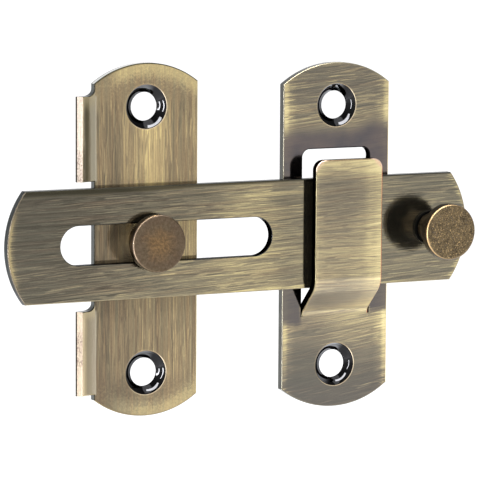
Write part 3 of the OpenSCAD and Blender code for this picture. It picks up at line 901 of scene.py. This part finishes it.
def keeper_face():
    g = Graph("keeper_brushed", aniso=0.8, spread=(0, 0, 1))
    x, z, d = g.x - KEEP_X, g.z - KEEP_Z, -g.y
    # the plate was brushed at a slant, more so at its lower end
    lean = 0.085 + g.step(0.0, 9.0, x) * 0.02 + g.step(-12.0, -30.0, z) * 0.045
    hook = g.step(1.9, 2.6, d)
    lean_h = g.step(-4.0, 6.0, z) * 0.048 + 0.006
    tone, relief, hue = strokes(g, x, z - x * g.mix(hook, lean, lean_h), 4.0, slants=(0.06, -0.05), marks=0.45, fine=1.25, mid=0.75, broad=0.65, run=0.7, cross=0.055)
    tone = tone * g.mix(hook, 1.12 - g.step(-11.0, -15.0, z) * 0.42 + g.step(-27.0, -31.0, z) * 1.2, 0.84)
    side, end = outline(g, x, z, KEEP_W, KEEP_H, KEEP_R)
    hole = g.length(x, g.abs(z) - PITCH / 2)
    # plate: darkest above the upper hole and at the lower end, yellow at its two sides
    mp = g.curve(z, [(-34.5, 1.22), (-30, 1.15), (-25, 0.86), (-20, 0.61), (-16.5, 0.50), (15, 0.60), (24, 0.58), (29, 0.74), (34.5, 0.74)])
    mp = mp - g.step(-6.0, 9.0, x) * g.step(-10.0, -20.0, z) * 0.05 + g.step(4.0, -7.0, x) * g.step(-12.0, -18.0, z) * 0.17
    mp = mp - g.step(3.4, 0.8, side + tone * 0.45) * 0.24 - g.step(1.6, 0.6, side + tone * 0.15) * 0.26
    mp = mp - g.step(4.7, 4.4, hole) * 0.10
    # hook: dark patch high up, lighter to the right and down; the dark band across the slope of its foot, darker to the
    # left, is painted shade at the bend
    mh = g.curve(z, [(-18, 0.50), (-16.4, 0.50), (-15.1, 0.52), (-14.2, 0.60), (-13.0, 0.72), (-12.2, 0.80), (-11.4, 0.78), (-10.5, 0.68),
                     (-9.2, 0.67), (-8.0, 0.58), (-3, 0.53), (3, 0.64), (7, 0.73), (10.2, 0.76), (12.0, 0.62), (13.8, 0.38), (15.7, 0.24)])
    low_left = g.step(3.0, -4.0, x) * g.step(-10.0, -12.5, z) * 0.07
    mh = mh + low_left - g.curve(x, [(-7.4, 0.20), (-6.4, 0.06), (-5, 0.0), (-1, 0.0), (2.5, 0.08), (5.2, 0.26), (6.9, 0.36), (7.4, 0.42)]) * (1.0 - g.step(-7.5, -9.5, z) * 0.35)
    calm = g.mix(hook, 0.52, 0.44) - (g.step(-7.4, -9.0, z) * 0.14 + g.step(-10.5, -13.0, z) * 0.16) * hook
    m = g.mix(hook, mp, mh) + tone * calm
    col = brushed(g, m, hue, 0.08)
    col = g.mixc(g.clamp((m - 0.45) * 1.2) * (1.0 - hook) * 0.5, col, lin(114, 112, 104))
    col = g.mixc(g.step(-26.0, -33.0, z) * 0.28, col, lin(96, 89, 86))
    # the hook's two corners are pale pink
    cx, cz = g.mx(g.abs(x) - HOOK_W / 2 + HOOK_CR, 0.0), g.mx(z - HOOK_TOP + HOOK_CR, 0.0)
    pink_corners = g.step(0.9, 1.8, g.length(cx, cz) + tone * 0.5) * g.step(0.0, 0.5, cx) * g.step(0.0, 0.5, cz) * hook
    col = g.mixc(pink_corners * 0.62, col, g.mixc(g.step(1.0, -1.0, x), lin(232, 190, 166), lin(228, 194, 168)))
    # purple-grey where the brush can't reach: above the window and beside the hook
    ragged = tone * 1.8
    wide = g.step(-18.4, -16.4, z + ragged * 0.6 - g.step(0.0, 8.0, x) * 1.7)
    beside = g.step(7.2, 8.2, g.abs(x))
    top = g.step(-10.0, 2.0, z)
    near = g.step(WIN_TOP + 5.6, WIN_TOP + 1.8, z + ragged - g.step(3.0, 10.0, x) * 1.5) * wide
    near = near * g.mx(beside, top) * (1.0 - hook)
    cloud = g.noise(x * 0.25, z * 0.25, 2.0, detail=2.0)
    bare = g.mixc(g.clamp((cloud - 0.5) * 2.5 + 0.5), lin(106, 97, 95), lin(88, 85, 89))
    bare = g.mixc((1.0 - top) * 0.6, bare, lin(92, 88, 86))
    col = g.mixc(near * 0.94, col, bare)
    rough = g.mix(near, 0.12 + tone * 0.04, 0.10) 
    rough = rough + g.step(-8.0, -10.5, z) * g.step(-18.6, -16.6, z) * g.step(7.7, 7.3, g.abs(x)) * 0.20
    return g.finish(col, rough, g.bump(relief * (1.0 - near), 1.0, 0.000006))


def stud_finish():
    g = Graph("stud_bronze_smooth")
    x, z, d = g.x, g.z, -g.y
    r = g.length(x, z)
    grain = g.noise(x * 1.9, z * 1.9, d * 1.9, detail=5.0, rough=0.78) - 0.5
    broad = g.noise(x * 0.5, z * 0.5, d * 0.5, detail=2.0) - 0.5
    ang = g.op("ARCTAN2", z, x)
    rays = g.noise(g.op("COSINE", ang) * 7.0, g.op("SINE", ang) * 7.0, r * 0.5, detail=3.0, rough=0.6) - 0.5
    warm = g.step(4.4, 0.4, r + broad * 4.0 + rays * 2.0)
    base = g.mixc(g.clamp(0.5 + broad * 2.6), lin(95, 80, 66), lin(99, 86, 69))
    base = g.mixc(warm * 0.85, base, lin(128, 101, 68))
    base = g.mixc(g.clamp(0.38 + grain * 3.4 + rays * 0.8), base, lin(68, 57, 44))
    bright = g.step(0.08, 0.22, grain)
    base = g.mixc(bright * 0.45, base, lin(146, 118, 86))
    head = g.step(-0.5, -0.9, g.ny)
    side = g.mixc(g.clamp(grain * 1.5 + 0.5), lin(84, 70, 54), lin(52, 44, 35))
    under = g.mixc(g.clamp(grain * 1.5 + 0.5), lin(92, 80, 56), lin(66, 57, 42))
    side = g.mixc(g.step(0.05, 0.4, g.ny), side, under)
    side = g.mixc(g.step(5.85, 5.6, d), side, lin(74, 64, 42))
    surf = g.mixc(head, side, base)
    # painted highlight: a pale line round the head's rim, strongest at the upper left
    rim = g.step(5.42, 5.47, r) * g.step(-0.30, -0.48, g.ny)
    rim = rim * (g.step(0.5, -3.6, x * 0.85 - z * 0.6) * 0.88 + 0.02) * (g.step(-4.6, -1.0, z) * 0.8 + 0.2)
    surf = g.mixc(rim, g.tint(surf, 0.94, 0.94, 0.95), lin(218, 192, 168))
    return g.finish(surf, 0.34 + grain * 0.2 - rim * 0.10, g.bump(grain + rays * 0.4, 1.0, 0.00004))


def knob_finish():
    g = Graph("knob_bronze_speckled")
    x, z, d = g.x - KNOB_X, g.z, -g.y
    r = g.length(x, z)
    grain = g.noise(x * 3.0, z * 3.0, d * 3.0, detail=5.0, rough=0.78) - 0.5
    broad = g.noise(x * 0.5, z * 0.5, d * 0.5, detail=2.0) - 0.5
    base = g.mixc(g.clamp(0.50 + grain * 3.4 + broad * 0.9), lin(122, 105, 76), lin(58, 51, 42))
    fleck = g.step(0.59, 0.67, g.noise(x * 3.5, z * 3.5, d * 3.5 + 7.0, detail=2.0, rough=0.6))
    base = g.mixc(fleck * 0.55, base, lin(188, 158, 110))
    grey = g.step(0.59, 0.67, g.noise(x * 2.6, z * 2.6, d * 2.6 + 17.0, detail=2.0, rough=0.6))
    base = g.mixc(grey * 0.5, base, lin(100, 94, 88))
    head = g.step(-0.6, -0.95, g.ny) * g.step(9.0, 10.0, d)
    # painted shade under the head: the neck is dark, near black where it faces back and round its foot
    neck = g.mixc(g.clamp(0.5 + grain * 1.6), lin(64, 55, 42), lin(36, 31, 25))
    under = g.step(0.02, 0.25, g.ny)
    neck = g.mixc(under, neck, lin(14, 13, 11))
    foot = g.step(5.62, 5.42, d)
    neck = g.mixc(foot, neck, lin(9, 9, 8))
    neck = g.mixc(g.step(4.5, 4.0, d), neck, lin(74, 64, 47))
    surf = g.mixc(head, neck, g.tint(base, 0.88, 0.88, 0.90))
    # painted highlight: a gold line round the head's rim, stronger on its left and top
    rim = g.step(-0.95, -0.84, g.ny) * g.step(-0.50, -0.66, g.ny) * g.step(12.0, 12.4, d)
    rim = rim * (g.step(0.35, -0.35, g.nx - g.nz * 0.5) * 0.7 + 0.3)
    surf = g.mixc(rim * g.clamp(0.78 + grain * 3.0), surf, lin(166, 140, 103))
    return g.finish(surf, 0.34 + grain * 0.3 + foot * 0.25, g.bump(grain + fleck * 0.6, 1.0, 0.00005))


# pale is the colour of the painted grey reflection in the countersinks
sink_m = black_sink("screw_sink_black", (92, 93, 95), 0.9)
keeper_sink = black_sink("keeper_sink_black", (124, 125, 128), 0.9, left=0.9)
rear_m = rear("sheet_rear")
# painted shade for the keeper's window and tongue walls and the tongue's back
inner_m = painted_shade_metal("painted_shade_black")
rim_m = corner_metal("sink_rim", (212, 196, 168), (118, 106, 84), (206, 188, 158), (112, 98, 78), seed=5.0, uneven=0.35)

base = build_base([
    base_face(),
    corner_metal("base_corner", (44, 42, 36), (196, 182, 142), (46, 43, 32), (112, 100, 74), seed=2.0, uneven=0.3),
    # the base's cut edge gets a near-white painted highlight on its arched ends
    cut_metal("base_cut_edge", dark=(62, 66, 64), pale=(92, 96, 94), arch_highlight=(250, 250, 246)),
    sink_m, rear_m, raw_cut(), curl_face(), rim_m])
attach(base, "plates")
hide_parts("base_plate")

keeper = build_keeper([
    keeper_face(),
    corner_metal("keeper_corner", (116, 112, 100), (220, 200, 150), (150, 142, 120), (84, 80, 70), seed=3.0, uneven=0.4),
    cut_metal("keeper_cut_edge", dark=(64, 66, 62), pale=(90, 90, 86)),
    keeper_sink, rear_m,
    corner_metal("hook_corner", (112, 106, 84), (212, 134, 98), (122, 104, 78), (150, 130, 100), seed=7.0, uneven=0.3, tips=(228, 198, 178)),
    inner_m, rim_m])
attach(keeper, "plates")
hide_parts("keeper_plate")

bar = build_bar([
    bar_face(),
    corner_metal("bar_corner", (98, 90, 78), (152, 137, 104), (42, 42, 36), (128, 119, 96), seed=4.0, uneven=0.7),
    cut_metal("bar_cut_edge", dark=(66, 69, 69), pale=(88, 91, 91), dim=0.55),
    # the bar's slot walls and corners are painted shade, near black
    sink_m, rear_m, rim_m, painted_shade_metal("slot_painted_shade", (22, 23, 22), (44, 46, 48), 0.15)])
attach(bar, "bar")
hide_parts("slide_bar")

nodes["pivot_stud"].material_slots[0].material = stud_finish()
nodes["pull_knob"].material_slots[0].material = knob_finish()


# ---------------------------------------------------------------------- studio
def look_at(o, target):
    o.rotation_mode = "QUATERNION"
    o.rotation_quaternion = (Vector(target) - o.location).to_track_quat("-Z", "Y")


def soft_light(name, direction, dist, w, h, radiance, target=(0.021, 0, 0), colour=(1, 1, 1), shape="RECTANGLE", roll=0.0):
    data = bpy.data.lights.new(name, "AREA")
    data.shape, data.size, data.size_y = shape, w, h
    data.energy = radiance * math.pi * w * h * (math.pi / 4 if shape == "ELLIPSE" else 1.0)
    data.color = colour
    o = bpy.data.objects.new(name, data)
    scene.collection.objects.link(o)
    o.location = Vector(target) + Vector(direction).normalized() * dist
    look_at(o, target)
    o.rotation_quaternion = o.rotation_quaternion @ Quaternion((0, 0, 1), math.radians(roll))
    o.visible_camera = False
    return o


mesh = bpy.data.meshes.new("floor")
S, FZ = 14.0, -0.30
mesh.from_pydata([(-S, -S, FZ), (S, -S, FZ), (S, S, FZ), (-S, S, FZ)], [], [(0, 1, 2, 3)])
floor = bpy.data.objects.new("floor", mesh)
scene.collection.objects.link(floor)
fm = bpy.data.materials.new("floor_white")
fm.use_nodes = True
fp = fm.node_tree.nodes["Principled BSDF"]
fp.inputs["Base Color"].default_value = (0.93, 0.93, 0.93, 1)
fp.inputs["Roughness"].default_value = 0.9
fp.inputs["Emission Color"].default_value = (1, 1, 1, 1)
fp.inputs["Emission Strength"].default_value = 0.12
fp.inputs["Specular IOR Level"].default_value = 0.0
mesh.materials.append(fm)

world = bpy.data.worlds.new("studio")
scene.world = world
world.use_nodes = True
wn = world.node_tree
bg = wn.nodes["Background"]
wtc = wn.nodes.new("ShaderNodeTexCoord")
wsep = wn.nodes.new("ShaderNodeSeparateXYZ")
wn.links.new(wtc.outputs["Generated"], wsep.inputs[0])
wr = wn.nodes.new("ShaderNodeValToRGB")
wr.color_ramp.elements[0].position, wr.color_ramp.elements[0].color = 0.22, (1.0, 1.0, 1.0, 1)
wr.color_ramp.elements[1].position, wr.color_ramp.elements[1].color = 0.75, (0.42, 0.42, 0.43, 1)
wn.links.new(wsep.outputs[2], wr.inputs[0])
wn.links.new(wr.outputs[0], bg.inputs[0])
bg.inputs[1].default_value = 1.0

soft_light("left_strip", (-0.93, -0.35, 0.02), 1.3, 0.55, 1.1, 1.5)
soft_light("key", (-0.115, -0.618, 0.777), 1.4, 1.40, 0.17, 52.0, roll=32.0)
soft_light("thin_strip_a", (-0.700, -0.700, -0.05), 0.62, 0.018, 0.42, 100.0)
soft_light("thin_strip_b", (-0.846, -0.517, -0.05), 0.62, 0.014, 0.42, 100.0)
sun = bpy.data.lights.new("fill", "SUN")
sun.energy, sun.angle = 1.5, math.radians(40)
so = bpy.data.objects.new("fill", sun)
scene.collection.objects.link(so)
so.location = (0.3, -0.5, 1.5)
look_at(so, (0, 0, 0))

# ---------------------------------------------------------------------- camera
AZ, EL, ROLL, DIST = math.radians(26.26), math.radians(7.08), math.radians(0.34), 0.6986
TARGET = Vector((0.02109, 0.0, -0.00116))
cam_data = bpy.data.cameras.new("camera")
cam_data.sensor_width = 36.0
cam_data.lens = 3544.0 / 480.0 * 36.0
cam_data.clip_start, cam_data.clip_end = 0.01, 60.0
cam = bpy.data.objects.new("camera", cam_data)
scene.collection.objects.link(cam)
back = Vector((-math.sin(AZ) * math.cos(EL), -math.cos(AZ) * math.cos(EL), math.sin(EL)))
right = Vector((math.cos(AZ), -math.sin(AZ), 0.0))
up = back.cross(right)
r2 = right * math.cos(ROLL) + up * math.sin(ROLL)
u2 = up * math.cos(ROLL) - right * math.sin(ROLL)
cam.matrix_world = Matrix((
    (r2.x, u2.x, back.x, 0), (r2.y, u2.y, back.y, 0), (r2.z, u2.z, back.z, 0), (0, 0, 0, 1)))
cam.location = TARGET + back * DIST
scene.camera = cam
scene.view_settings.view_transform = "Standard"
scene.view_settings.look = "None"
